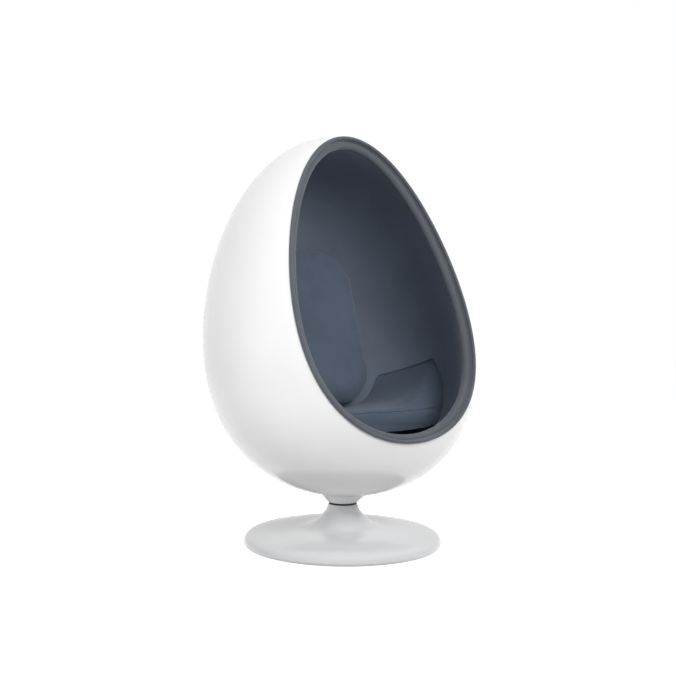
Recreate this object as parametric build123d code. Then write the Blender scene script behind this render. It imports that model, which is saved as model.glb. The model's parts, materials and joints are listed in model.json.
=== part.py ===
from build123d import *
import math
import os

# Pod chair: an egg-shaped shell seat, padded inside, that swivels on a low trumpet base.
# Millimetres. +Z is up, the opening faces -Y, the origin is on the floor on the swivel axis.

# ---------------------------------------------------------------- driving dimensions
# Egg shell. u runs along the egg's leaning axis from -1 (foot) to 1 (crown).
EGG_HALF_LENGTH = 562.0      # half of the egg along its own axis
EGG_RADIUS = 412.5           # half width at the middle of the axis
EGG_TAPER = 0.272            # how much the foot end is fuller than the crown end
EGG_SWELL = 0.105            # fullness added towards both ends
EGG_DEPTH = 0.977            # depth over width at the middle
EGG_DEPTH_RISE = 0.312       # depth over width grows towards the crown
EGG_DEPTH_SWELL = 0.059
EGG_AXIS_BOW = 39.4          # both ends of the axis bend forward by this much
EGG_LEAN = 16.4              # degrees, the axis leans back
EGG_SET_BACK = 56.8          # middle of the axis behind the swivel axis
SHELL_WALL = 6.0             # glass-fibre laminate
OPENING_LEAN = 19.4          # degrees, the opening's plane leans back
OPENING_REACH = 244.8        # from the middle of the axis to the opening's plane

# Padding and lining
GLUE_GAP = 0.5               # between bonded layers
FOAM_THICKNESS = 26.0        # foam glued into the shell in six panels, edge to edge
FOAM_BOWL_TOP = 400.0        # height of the seam round the bowl's panel
FOAM_CROWN_FOOT = 950.0      # height of the seam under the crown's panel
FOAM_SIDE_SEAM_Y = 200.0     # seam between the side and rear panels
FABRIC_THICKNESS = 2.0       # lining cloth

# Rim: a piping on the shell's edge and a padded roll just inside it
PIPING_RADIUS = 5.5
PIPING_INSET = 4.2           # piping's middle inside the shell's outer edge
PIPING_SEAT = 0.3            # piping stands this far off the edge
ROLL_RADIUS = 14.5
ROLL_INSET = 20.0            # roll's middle inside the shell's outer edge
ROLL_SETBACK = 19.0          # roll's middle behind the opening's plane
ROLL_COVER = 1.5
SOFT_GAP = 0.4               # between a soft piece and its seat

# Seat cushion: its front edge is straight and its sides climb the bowl
SEAT_FRONT_Y = -62.0         # front face
SEAT_REAR_HALF_WIDTH = 130.0 # underside's half width where the cushion ends behind
SEAT_FRONT_TOP = 411.0       # height of the front edge over the floor
SEAT_THICKNESS = 72.0
SEAT_REAR_DROP = 16.0        # the middle of the rear is this much lower than the front
SEAT_CLIMB = 162.0           # the sides climb this far over the middle where they are highest
SEAT_CLIMB_RUN = 85.0        # behind the front face, where they have climbed that far
SEAT_CLIMB_SLICES = 3        # upright slices of the cushion on that run
SEAT_REAR_CLIMB = 107.0      # climb left at the rear
SEAT_CLIMB_POWER = 5         # of the place across the cushion: more is flatter in the middle
SEAT_OVERREACH = 15.0        # the cushion is cut this much too wide, then trimmed to the bowl
SEAT_CROWN = 4.0
SEAT_SLICES = 5              # upright slices from there to the rear
SEAT_HALF_POINTS = 4         # points of a slice's curves from the middle to each side
SEAT_EDGE_ROUND = 9.0
COVER_THICKNESS = 1.5        # cushion covers
COVER_EASE = 0.4             # between a cover and its filling

# Back cushion, square with round corners, leaning on the bowl
BACK_WIDTH = 482.0
BACK_HEIGHT = 548.0
BACK_THICKNESS = 128.0
BACK_CORNER = 130.0
BACK_EDGE = 34.0             # thickness of the sewn edge
BACK_SIDE_PULL = 1.0         # sides pull in between the corners
BACK_CROWN_INSET = 143.0     # the crown's top outline lies inside the sewn edge by this much
BACK_STEPS = 6               # outlines from the middle to each face
BACK_DOME = 2.2              # power of the draw-in from the middle to a face: more is boxier
BACK_CORNER_SHARE = 0.5      # of the draw-in that the corners' radius loses
BACK_LEAN = 19.0             # degrees

# Base
BASE_RADIUS = 305.0
BASE_EDGE_Z = 9.0            # height of the widest line
BASE_FLOOR_GAP = 2.0         # the trumpet's lip stays off the floor
BASE_LIP_INSET = 4.0
SHOULDER_RADIUS = 268.0
SHOULDER_Z = 42.0
PLATEAU_RADIUS = 160.0
PLATEAU_Z = 54.0
FLARE_RADIUS = 88.0
FLARE_Z = 69.0
WAIST_RADIUS = 56.0
WAIST_Z = 101.0
NECK_RADIUS = 45.0
NECK_TOP = 125.0
BASE_WALL = 4.0
NECK_SLOPE = -0.3            # radius over height where the trumpet ends
FLOOR_PAD_THICKNESS = 4.0    # felt under the ballast plate
FLOOR_PAD_RADIUS = 262.0
BALLAST_RADIUS = 264.0
BALLAST_THICKNESS = 12.0
BOSS_COUNT = 6
BOSS_RADIUS = 11.0
BOSS_CIRCLE = 224.0          # radius of the ring of bosses
BASE_SCREW_RADIUS = 3.0
BASE_SCREW_HEAD_RADIUS = 6.0
BASE_SCREW_HEAD = 3.4
BASE_SCREW_REACH = 14.0      # into the boss
HOLE_EASE = 0.3              # round a bolt or screw
CUT_PAST = 1.0               # a cutter runs this far past the face it opens

# Swivel
COLUMN_RADIUS = 30.0
COLUMN_BORE = 22.0           # radius
COLUMN_FOOT_RADIUS = 88.0
COLUMN_FOOT = 8.0
COLUMN_BOLT_COUNT = 4
COLUMN_BOLT_CIRCLE = 64.0    # radius
COLUMN_BOLT_RADIUS = 5.0
COLUMN_BOLT_HEAD = 6.4
COLUMN_BOLT_HEAD_RADIUS = 8.5
COLUMN_TOP_BELOW_NECK = 8.0
SPINDLE_RADIUS = 17.5
RUNNING_CLEARANCE = 0.05
BUSH_LENGTH = 22.0
BUSH_FIT = 0.02              # bush in the column's bore
LOWER_BUSH_Z = 50.0
RACE_THICKNESS = 3.0
RACE_OUTER = 32.0
RACE_BORE_EASE = 0.5
BALL_RADIUS = 3.175
BALL_COUNT = 14
BALL_CIRCLE = 25.5           # radius
CAGE_THICKNESS = 2.4
CAGE_WIDTH = 9.6
CAGE_EASE = 0.15             # round each ball
FLANGE_RADIUS = 38.5
FLANGE_THICKNESS = 8.0
DUST_RING_OUTER = 43.0
DUST_RING_INNER = 34.0
DUST_RING_RUN = 0.5          # over the neck
CLIP_THICKNESS = 1.75
CLIP_OUTER = 20.5
CLIP_DEPTH = 1.6             # of its groove in the spindle
CLIP_MOUTH = 8.0             # width of the clip's open end
WASHER_THICKNESS = 2.0
SPINDLE_TAIL = 6.0           # spindle below the clip

# Collar under the shell and what bolts the shell to the spindle
SWIVEL_GAP = 6.0             # neck to collar
COLLAR_FOOT_RADIUS = 45.0
COLLAR_HEIGHT = 28.5         # collar's foot to the shell's lowest point
COLLAR_FLARE = 46.0          # degrees, the collar's side off the upright
COLLAR_REACH = 85.0          # the cone runs this high before the shell trims it
RECESS_EASE = 0.4
PAD_RADIUS = 60.0            # reinforcing pad laminated into the bowl's floor
PAD_COVER = 5.5              # pad's top over the shell's inside beyond the washers
MOUNT_BOLT_COUNT = 4
MOUNT_BOLT_CIRCLE = 27.0     # radius
MOUNT_BOLT_RADIUS = 4.0
MOUNT_BOLT_HEAD = 4.4
MOUNT_BOLT_HEAD_RADIUS = 6.5
MOUNT_WASHER = 1.6
MOUNT_WASHER_RADIUS = 8.0

# ---------------------------------------------------------------- worked-out sizes
FOAM_INSET = SHELL_WALL + GLUE_GAP
FOAM_FACE = FOAM_INSET + FOAM_THICKNESS
LINING_INSET = FOAM_FACE + GLUE_GAP
LINING_FACE = LINING_INSET + FABRIC_THICKNESS
LINING_SETBACK = ROLL_SETBACK + ROLL_RADIUS + SOFT_GAP    # foam and cloth end behind the roll
COLLAR_FOOT_Z = NECK_TOP + SWIVEL_GAP
SHELL_FOOT_Z = COLLAR_FOOT_Z + COLLAR_HEIGHT
COLUMN_TOP = NECK_TOP - COLUMN_TOP_BELOW_NECK
BALLAST_TOP = FLOOR_PAD_THICKNESS + BALLAST_THICKNESS
FOOT_TOP = BALLAST_TOP + COLUMN_FOOT
BALL_Z = COLUMN_TOP + RACE_THICKNESS + RUNNING_CLEARANCE + BALL_RADIUS
UPPER_RACE_Z = BALL_Z + BALL_RADIUS + RUNNING_CLEARANCE
FLANGE_Z = UPPER_RACE_Z + RACE_THICKNESS
FLANGE_TOP = FLANGE_Z + FLANGE_THICKNESS
LEAN = math.radians(EGG_LEAN)
ALONG = Vector(0, math.sin(LEAN), math.cos(LEAN))
ACROSS = Vector(0, math.cos(LEAN), -math.sin(LEAN))
TILT = math.radians(OPENING_LEAN)
OUTWARD = Vector(0, -math.cos(TILT), math.sin(TILT))
UPSLOPE = Vector(0, math.sin(TILT), math.cos(TILT))
BACK_TILT = math.radians(BACK_LEAN)


# ---------------------------------------------------------------- the egg's form
def girth(u, inset):
    """Half width of the egg at u."""
    round_end = math.sqrt(max(0.0, 1 - u * u))
    return (EGG_RADIUS - inset) * round_end * (1 - EGG_TAPER * u + EGG_SWELL * u * u)


def depth_ratio(u):
    return EGG_DEPTH + EGG_DEPTH_RISE * u + EGG_DEPTH_SWELL * u * u


def egg_point(u, angle, inset, centre):
    """Point of the egg's surface at u; angle 0 is +X and 90 degrees is the rear."""
    r = girth(u, inset)
    middle = centre + ALONG * ((EGG_HALF_LENGTH - inset) * u) - ACROSS * (EGG_AXIS_BOW * u * u)
    return middle + Vector(1, 0, 0) * (r * math.cos(angle)) + ACROSS * (r * depth_ratio(u) * math.sin(angle))


def lowest(inset, centre):
    """Height of the egg's lowest point: it lies on the centre plane."""
    steps = 400
    points = (egg_point(math.sin(math.pi * (k / steps - 0.5)), side * math.pi / 2, inset, centre)
              for k in range(steps + 1) for side in (-1, 1))
    return min(p.Z for p in points)


CENTRE = Vector(0, EGG_SET_BACK, SHELL_FOOT_Z - lowest(0, Vector(0, 0, 0)))
OPENING_POINT = CENTRE + OUTWARD * OPENING_REACH


def egg_half_width(y, z, inset):
    """Half width of the egg at a place on the centre plane, or 0 outside it."""
    place = Vector(0, y, z) - CENTRE
    u = place.dot(ALONG) / (EGG_HALF_LENGTH - inset)
    if abs(u) >= 1:
        return 0.0
    v = place.dot(ACROSS) + EGG_AXIS_BOW * u * u
    r = girth(u, inset)
    return r * math.sqrt(max(0.0, 1 - (v / (r * depth_ratio(u))) ** 2))


SECTION_POINTS = 24
SECTION_ANGLES = (-89, -84, -77, -68, -57, -45, -32, -18, -4, 10, 24, 38, 51, 63, 73, 81, 86, 89)


def egg_section(u, inset):
    turn = 2 * math.pi / SECTION_POINTS
    points = [egg_point(u, k * turn - math.pi / 2, inset, CENTRE) for k in range(SECTION_POINTS)]
    return Face(Wire([Edge.make_spline(points, periodic=True)]))


def egg_solid(inset):
    """The whole egg, drawn in by inset, lofted through sections square to its axis."""
    return loft([egg_section(math.sin(math.radians(a)), inset) for a in SECTION_ANGLES])


def behind_opening(solid, setback):
    """What lies behind the opening's plane, moved back by setback."""
    plane = Plane(origin=OPENING_POINT - OUTWARD * setback, x_dir=(1, 0, 0), z_dir=OUTWARD)
    return split(solid, bisect_by=plane, keep=Keep.BOTTOM)


# ---------------------------------------------------------------- the rim's line
def rim_point(share):
    """Outer edge of the shell in the opening's plane; share 0 is its foot and 1 its top."""
    foot, top = rim_ends()
    along = foot + (top - foot) * (1 - math.cos(math.pi * share)) / 2
    place = OPENING_POINT + UPSLOPE * along
    return egg_half_width(place.Y, place.Z, 0), along


def rim_ends():
    """Where the opening's plane leaves the egg below and above, measured up the slope."""
    def crossing(near, far):
        for _ in range(50):
            middle = (near + far) / 2
            place = OPENING_POINT + UPSLOPE * middle
            inside = egg_half_width(place.Y, place.Z, 0) > 0
            near, far = (middle, far) if inside else (near, middle)
        return near
    return crossing(0, -2 * EGG_HALF_LENGTH), crossing(0, 2 * EGG_HALF_LENGTH)


RIM_SPANS = 9


def rim_path(inset, forward):
    """Closed line of tangent arcs inside the shell's edge by inset, forward of the opening's plane."""
    shares = [k / RIM_SPANS for k in range(RIM_SPANS + 1)]
    tiny = 1e-3
    knots = []
    for share in shares:
        x, s = rim_point(share)
        before = rim_point(max(0, share - tiny))
        after = rim_point(min(1, share + tiny))
        run = Vector(after[0] - before[0], after[1] - before[1], 0).normalized()
        if share in (0, 1):
            x, run = 0, Vector(1 - 2 * share, 0, 0)
        inward = Vector(-run.Y, run.X, 0)
        knots.append((Vector(x, s, 0) + inward * inset, run))
    right = []
    for (p, t), (q, v) in zip(knots, knots[1:]):
        right += biarc(p, t, q, v)
    plane = Plane(origin=OPENING_POINT + OUTWARD * forward, x_dir=(1, 0, 0), z_dir=OUTWARD)
    arcs = [plane.from_local_coords(Edge.make_three_point_arc(*a)) for a in right]
    mirrored = [plane.from_local_coords(Edge.make_three_point_arc(*[Vector(-w.X, w.Y, 0) for w in reversed(a)]))
                for a in reversed(right)]
    return Wire(arcs + mirrored)


def biarc(p, t, q, v):
    """Two tangent arcs from p along t to q along v, each as three points."""
    chord = q - p
    a = 2 * (1 - t.dot(v))
    b = 2 * chord.dot(t + v)
    c = -chord.dot(chord)
    d = -c / b if abs(a) < 1e-9 else (-b + math.sqrt(b * b - 4 * a * c)) / (2 * a)
    joint = (p + q + (t - v) * d) * 0.5
    return [arc_points(p, t, joint), arc_points(q, v * -1, joint)[::-1]]


def arc_points(p, t, q):
    """Start, middle and end of the arc that leaves p along t and reaches q."""
    chord = q - p
    middle = p + chord * 0.5
    half = chord.length / 2
    across = Vector(-chord.Y, chord.X, 0).normalized()
    sine = chord.normalized().cross(t).Z
    cosine = chord.normalized().dot(t)
    return [p, middle + across * (half * sine / (1 + cosine)), q]


def ring_tube(inset, forward, radius):
    """A round ring that follows the rim."""
    path = rim_path(inset, forward)
    start = path @ 0
    section = Plane(origin=start, x_dir=OUTWARD, z_dir=path % 0) * Circle(radius)
    return sweep(section, path=path)


# ---------------------------------------------------------------- small helpers
def disc(radius, z, height, bore=0.0):
    """A flat round piece standing at z, with a bore."""
    body = Pos(0, 0, z) * Cylinder(radius, height, align=(Align.CENTER, Align.CENTER, Align.MIN))
    if bore:
        body -= Pos(0, 0, z) * Cylinder(bore, height, align=(Align.CENTER, Align.CENTER, Align.MIN))
    return body


def around(count, circle, offset=0.0):
    """Places on a circle about the swivel axis."""
    step = 2 * math.pi / count
    return [(circle * math.cos(k * step + offset), circle * math.sin(k * step + offset)) for k in range(count)]


def holes(count, circle, radius, low, high, offset=0.0):
    """Round cutters through low to high."""
    return [Pos(x, y, 0) * disc(radius, low, high - low) for x, y in around(count, circle, offset)]


# ---------------------------------------------------------------- base
def trumpet_profile(inset):
    """Outline from the lip up to the neck, drawn in by the wall."""
    points = [(BASE_RADIUS, BASE_EDGE_Z), (SHOULDER_RADIUS, SHOULDER_Z), (PLATEAU_RADIUS, PLATEAU_Z),
              (FLARE_RADIUS, FLARE_Z), (WAIST_RADIUS, WAIST_Z), (NECK_RADIUS, NECK_TOP)]
    runs = [(0, 1)] + [(b[0] - a[0], b[1] - a[1]) for a, b in zip(points, points[2:])] + [(NECK_SLOPE, 1)]
    drawn = []
    for (r, z), (dr, dz) in zip(points, runs):
        size = math.hypot(dr, dz)
        drawn.append((r - inset * dz / size, z + inset * dr / size))
    return drawn


def trumpet_solid(inset, foot, top):
    """The trumpet's form, filled, drawn in by inset."""
    drawn = trumpet_profile(inset)
    curve = Spline(*drawn, tangents=[(0, 1), (NECK_SLOPE, 1)])
    lip = BASE_RADIUS - BASE_LIP_INSET - inset
    corners = [drawn[-1], (drawn[-1][0], top), (0, top), (0, foot), (lip, foot), drawn[0]]
    if top - drawn[-1][1] < 1e-6:
        corners.pop(1)
    return revolve(Plane.XZ * make_face(curve + Polyline(*corners)), Axis.Z)


def trumpet_base():
    shell = trumpet_solid(0, BASE_FLOOR_GAP, NECK_TOP) - trumpet_solid(BASE_WALL, 0, NECK_TOP + CUT_PAST)
    bosses = [Pos(x, y, 0) * disc(BOSS_RADIUS, BALLAST_TOP, SHOULDER_Z) for x, y in around(BOSS_COUNT, BOSS_CIRCLE)]
    inside = trumpet_solid(BASE_WALL / 2, 0, NECK_TOP)
    for boss in bosses:
        shell += boss & inside
    for hole in holes(BOSS_COUNT, BOSS_CIRCLE, BASE_SCREW_RADIUS, BALLAST_TOP, BALLAST_TOP + BASE_SCREW_REACH):
        shell -= hole
    return shell


def floor_pad():
    return disc(FLOOR_PAD_RADIUS, 0, FLOOR_PAD_THICKNESS)


def ballast_plate():
    plate = disc(BALLAST_RADIUS, FLOOR_PAD_THICKNESS, BALLAST_THICKNESS, COLUMN_BORE)
    low = FLOOR_PAD_THICKNESS
    cuts = holes(BOSS_COUNT, BOSS_CIRCLE, BASE_SCREW_RADIUS + HOLE_EASE, low, BALLAST_TOP)
    cuts += holes(BOSS_COUNT, BOSS_CIRCLE, BASE_SCREW_HEAD_RADIUS + HOLE_EASE, low, low + BASE_SCREW_HEAD)
    cuts += holes(COLUMN_BOLT_COUNT, COLUMN_BOLT_CIRCLE, COLUMN_BOLT_RADIUS, low, BALLAST_TOP, math.pi / 4)
    return plate - cuts


def base_screws():
    """Screws from below that hold the trumpet on the ballast plate."""
    low = FLOOR_PAD_THICKNESS
    reach = BALLAST_THICKNESS + BASE_SCREW_REACH
    screw = disc(BASE_SCREW_HEAD_RADIUS, low, BASE_SCREW_HEAD) + disc(BASE_SCREW_RADIUS, low, reach)
    return Compound(children=[Pos(x, y, 0) * screw for x, y in around(BOSS_COUNT, BOSS_CIRCLE)])


def pedestal_column():
    """Steel tube welded to its foot flange."""
    column = disc(COLUMN_FOOT_RADIUS, BALLAST_TOP, COLUMN_FOOT, COLUMN_BORE)
    column += disc(COLUMN_RADIUS, BALLAST_TOP, COLUMN_TOP - BALLAST_TOP, COLUMN_BORE)
    radius = COLUMN_BOLT_RADIUS + HOLE_EASE
    return column - holes(COLUMN_BOLT_COUNT, COLUMN_BOLT_CIRCLE, radius, BALLAST_TOP, FOOT_TOP, math.pi / 4)


def hex_bolt(radius, head_radius, head, low, seat):
    """Bolt with a hexagon head on seat and its end at low."""
    head_form = Pos(0, 0, seat) * extrude(RegularPolygon(head_radius, 6), head)
    return head_form + disc(radius, low, seat - low)


def column_bolts():
    bolt = hex_bolt(COLUMN_BOLT_RADIUS, COLUMN_BOLT_HEAD_RADIUS, COLUMN_BOLT_HEAD, FLOOR_PAD_THICKNESS, FOOT_TOP)
    places = around(COLUMN_BOLT_COUNT, COLUMN_BOLT_CIRCLE, math.pi / 4)
    return Compound(children=[Pos(x, y, 0) * bolt for x, y in places])


# ---------------------------------------------------------------- swivel
def bush(z):
    return disc(COLUMN_BORE - BUSH_FIT, z, BUSH_LENGTH, SPINDLE_RADIUS + RUNNING_CLEARANCE)


def lower_bush():
    return bush(LOWER_BUSH_Z)


def upper_bush():
    return bush(COLUMN_TOP - BUSH_LENGTH)


def race(z):
    return disc(RACE_OUTER, z, RACE_THICKNESS, SPINDLE_RADIUS + RACE_BORE_EASE)


def bearing_lower_race():
    return race(COLUMN_TOP)


def bearing_upper_race():
    return race(UPPER_RACE_Z)


def bearing_balls():
    return Compound(children=[Pos(x, y, BALL_Z) * Sphere(BALL_RADIUS) for x, y in around(BALL_COUNT, BALL_CIRCLE)])


def ball_cage():
    low = BALL_Z - CAGE_THICKNESS / 2
    cage = disc(BALL_CIRCLE + CAGE_WIDTH / 2, low, CAGE_THICKNESS, BALL_CIRCLE - CAGE_WIDTH / 2)
    return cage - holes(BALL_COUNT, BALL_CIRCLE, BALL_RADIUS + CAGE_EASE, low, low + CAGE_THICKNESS)


def clip_z():
    return LOWER_BUSH_Z - RUNNING_CLEARANCE - WASHER_THICKNESS - CLIP_THICKNESS


def swivel_spindle():
    """Shaft with its top flange, grooved near the tail for the retaining clip."""
    foot = clip_z() - SPINDLE_TAIL
    spindle = disc(SPINDLE_RADIUS, foot, FLANGE_Z - foot) + disc(FLANGE_RADIUS, FLANGE_Z, FLANGE_THICKNESS)
    spindle -= disc(SPINDLE_RADIUS + CUT_PAST, clip_z(), CLIP_THICKNESS, SPINDLE_RADIUS - CLIP_DEPTH)
    return spindle - holes(MOUNT_BOLT_COUNT, MOUNT_BOLT_CIRCLE, MOUNT_BOLT_RADIUS, FLANGE_Z, FLANGE_TOP)


def retaining_washer():
    return disc(CLIP_OUTER, clip_z() + CLIP_THICKNESS, WASHER_THICKNESS, SPINDLE_RADIUS + HOLE_EASE)


def retaining_clip():
    clip = disc(CLIP_OUTER, clip_z(), CLIP_THICKNESS, SPINDLE_RADIUS - CLIP_DEPTH)
    mouth = Box(CLIP_MOUTH, CLIP_OUTER, CLIP_THICKNESS, align=(Align.CENTER, Align.MAX, Align.MIN))
    return clip - Pos(0, 0, clip_z()) * mouth


def dust_ring():
    low = NECK_TOP + DUST_RING_RUN
    return disc(DUST_RING_OUTER, low, FLANGE_Z - low, DUST_RING_INNER)


# ---------------------------------------------------------------- collar and shell
def shell_collar(outer_egg):
    """Cone that flares up to the shell's round underside and is trimmed to it."""
    top_radius = COLLAR_FOOT_RADIUS + COLLAR_REACH * math.tan(math.radians(COLLAR_FLARE))
    cone = Cone(COLLAR_FOOT_RADIUS, top_radius, COLLAR_REACH, align=(Align.CENTER, Align.CENTER, Align.MIN))
    collar = Pos(0, 0, COLLAR_FOOT_Z) * cone - outer_egg
    collar = collar.solids().sort_by(Axis.Z)[0]
    collar -= disc(FLANGE_RADIUS + RECESS_EASE, COLLAR_FOOT_Z, FLANGE_TOP - COLLAR_FOOT_Z)
    radius = MOUNT_BOLT_RADIUS + HOLE_EASE
    return collar - holes(MOUNT_BOLT_COUNT, MOUNT_BOLT_CIRCLE, radius, FLANGE_TOP, FLANGE_TOP + COLLAR_REACH)


def bowl_floor(y):
    """Height of the shell's inside over a place on the centre plane."""
    outside, inside = SHELL_FOOT_Z, CENTRE.Z
    for _ in range(40):
        middle = (outside + inside) / 2
        hollow = egg_half_width(y, middle, SHELL_WALL) > 0
        outside, inside = (outside, middle) if hollow else (middle, inside)
    return inside


def pad_top():
    edge = MOUNT_BOLT_CIRCLE + MOUNT_WASHER_RADIUS
    return PAD_COVER + max(bowl_floor(edge), bowl_floor(-edge))


def egg_shell(outer_egg, cavity):
    shell = behind_opening(outer_egg, 0) - cavity
    radius = MOUNT_BOLT_RADIUS + HOLE_EASE
    return shell - holes(MOUNT_BOLT_COUNT, MOUNT_BOLT_CIRCLE, radius, COLLAR_FOOT_Z, pad_top())


def reinforcing_pad(foam_egg):
    """Laminated pad that fills the bowl's floor up to a flat top."""
    pad = foam_egg & disc(PAD_RADIUS, SHELL_FOOT_Z, pad_top() - SHELL_FOOT_Z)
    radius = MOUNT_BOLT_RADIUS + HOLE_EASE
    return pad - holes(MOUNT_BOLT_COUNT, MOUNT_BOLT_CIRCLE, radius, SHELL_FOOT_Z, pad_top())


def mounting_washers():
    washer = disc(MOUNT_WASHER_RADIUS, pad_top(), MOUNT_WASHER, MOUNT_BOLT_RADIUS + HOLE_EASE)
    places = around(MOUNT_BOLT_COUNT, MOUNT_BOLT_CIRCLE)
    return Compound(children=[Pos(x, y, 0) * washer for x, y in places])


def mounting_bolts():
    seat = pad_top() + MOUNT_WASHER
    bolt = hex_bolt(MOUNT_BOLT_RADIUS, MOUNT_BOLT_HEAD_RADIUS, MOUNT_BOLT_HEAD, FLANGE_Z, seat)
    places = around(MOUNT_BOLT_COUNT, MOUNT_BOLT_CIRCLE)
    return Compound(children=[Pos(x, y, 0) * bolt for x, y in places])


# ---------------------------------------------------------------- padding, lining and rim
def halves(solid, point, normal):
    """What lies beyond a flat seam and what lies before it, a glue gap apart."""
    parts = []
    for sense in (1, -1):
        plane = Plane(origin=point + normal * (sense * GLUE_GAP / 2), z_dir=normal * sense)
        parts.append(split(solid, bisect_by=plane, keep=Keep.TOP))
    return parts


def foam_panels(foam_egg, face_egg):
    """Foam over the inside of the shell behind the roll, hollowed for the pad and the bolts, by node."""
    foam = behind_opening(foam_egg, LINING_SETBACK) - face_egg
    foam -= disc(PAD_RADIUS + GLUE_GAP, SHELL_FOOT_Z, pad_top() + GLUE_GAP - SHELL_FOOT_Z)
    top = pad_top() + MOUNT_WASHER + MOUNT_BOLT_HEAD + GLUE_GAP
    foam -= holes(MOUNT_BOLT_COUNT, MOUNT_BOLT_CIRCLE, MOUNT_WASHER_RADIUS + GLUE_GAP, SHELL_FOOT_Z, top)
    crown, below = halves(foam, Vector(0, 0, FOAM_CROWN_FOOT), Vector(0, 0, 1))
    belt, bowl = halves(below, Vector(0, 0, FOAM_BOWL_TOP), Vector(0, 0, 1))
    rear, front = halves(belt, Vector(0, FOAM_SIDE_SEAM_Y, 0), Vector(0, 1, 0))
    back_left, back_right = halves(rear, Vector(0, 0, 0), Vector(1, 0, 0))
    left, right = halves(front, Vector(0, 0, 0), Vector(1, 0, 0))
    return {"foam_bowl": bowl, "foam_left": left, "foam_right": right, "foam_back_left": back_left,
            "foam_back_right": back_right, "foam_crown": crown}


def lining_cloth(cloth_egg, hollow_egg):
    return behind_opening(cloth_egg, LINING_SETBACK) - hollow_egg


def edge_piping():
    return ring_tube(PIPING_INSET, PIPING_RADIUS + PIPING_SEAT, PIPING_RADIUS)


def roll_tube(radius):
    return ring_tube(ROLL_INSET, -ROLL_SETBACK, radius)


# ---------------------------------------------------------------- seat cushion
def seat_rear():
    """Where the bowl has narrowed to the cushion's rear end."""
    near, far = CENTRE.Y, CENTRE.Y + EGG_RADIUS
    height = SEAT_FRONT_TOP - SEAT_THICKNESS - SEAT_REAR_DROP
    for _ in range(40):
        middle = (near + far) / 2
        wide = egg_half_width(middle, height, LINING_FACE) > SEAT_REAR_HALF_WIDTH
        near, far = (middle, far) if wide else (near, middle)
    return near


SEAT_REAR_Y = seat_rear()
CLIMB_END_Y = SEAT_FRONT_Y + SEAT_CLIMB_RUN


def seat_share(y):
    """0 at the cushion's front and 1 at its rear."""
    return min(1.0, max(0.0, (y - SEAT_FRONT_Y) / (SEAT_REAR_Y - SEAT_FRONT_Y)))


def seat_climb(y):
    """How far the cushion's sides lie over its middle."""
    if y < CLIMB_END_Y:
        return SEAT_CLIMB * math.sin(math.pi / 2 * max(0.0, y - SEAT_FRONT_Y) / SEAT_CLIMB_RUN)
    share = min(1.0, (y - CLIMB_END_Y) / (SEAT_REAR_Y - CLIMB_END_Y))
    return SEAT_CLIMB + (SEAT_REAR_CLIMB - SEAT_CLIMB) * share


def seat_middle(y, height):
    """Height over the floor, at x = 0, of a layer that lies height over the front edge's line."""
    return SEAT_FRONT_TOP + height - SEAT_REAR_DROP * seat_share(y)


def seat_reach(y):
    """Half width at y where the bowl stops the cushion's top."""
    return egg_half_width(y, seat_middle(y, 0) + seat_climb(y), LINING_FACE) - SOFT_GAP


def seat_layer(x, y, height, crown):
    """Height over the floor of the layer at x and y, domed by crown in its middle."""
    across = abs(x) / seat_reach(y)
    dome = crown * math.sin(math.pi * seat_share(y)) * max(0.0, 1 - across ** 2)
    return seat_middle(y, height) + seat_climb(y) * across ** SEAT_CLIMB_POWER + dome


def seat_slice(y, inset):
    """Upright slice of the seat cushion, its top and underside drawn in by inset; it runs into the bowl."""
    step = (seat_reach(y) + SEAT_OVERREACH) / SEAT_HALF_POINTS
    xs = [step * k for k in range(-SEAT_HALF_POINTS, SEAT_HALF_POINTS + 1)]

    def curve(height, crown):
        return [Vector(x, y, seat_layer(x, y, height, crown)) for x in xs]

    bottom, top = curve(inset - SEAT_THICKNESS, 0), curve(-inset, SEAT_CROWN)
    edges = [Edge.make_spline(bottom), Edge.make_line(bottom[-1], top[-1]),
             Edge.make_spline(top[::-1]), Edge.make_line(top[0], bottom[0])]
    return Face(Wire(edges))


def seat_form(inset):
    """Seat cushion, its front edge rounded over and its sides trimmed to the bowl, drawn in by inset."""
    front, rear = SEAT_FRONT_Y + inset, SEAT_REAR_Y - inset
    shoulder = SEAT_EDGE_ROUND * (1 - math.sqrt(0.5))
    steps = [(front, SEAT_EDGE_ROUND), (front + shoulder, shoulder), (front + SEAT_EDGE_ROUND, 0)]
    steps += [(SEAT_FRONT_Y + SEAT_CLIMB_RUN * k / SEAT_CLIMB_SLICES, 0) for k in range(1, SEAT_CLIMB_SLICES + 1)]
    run = (SEAT_REAR_Y - CLIMB_END_Y) / SEAT_SLICES
    steps += [(CLIMB_END_Y + run * k, 0) for k in range(1, SEAT_SLICES)] + [(rear, 0)]
    form = loft([seat_slice(y, inset + extra) for y, extra in steps], ruled=True)
    return form & egg_solid(LINING_FACE + SOFT_GAP + inset)


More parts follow.
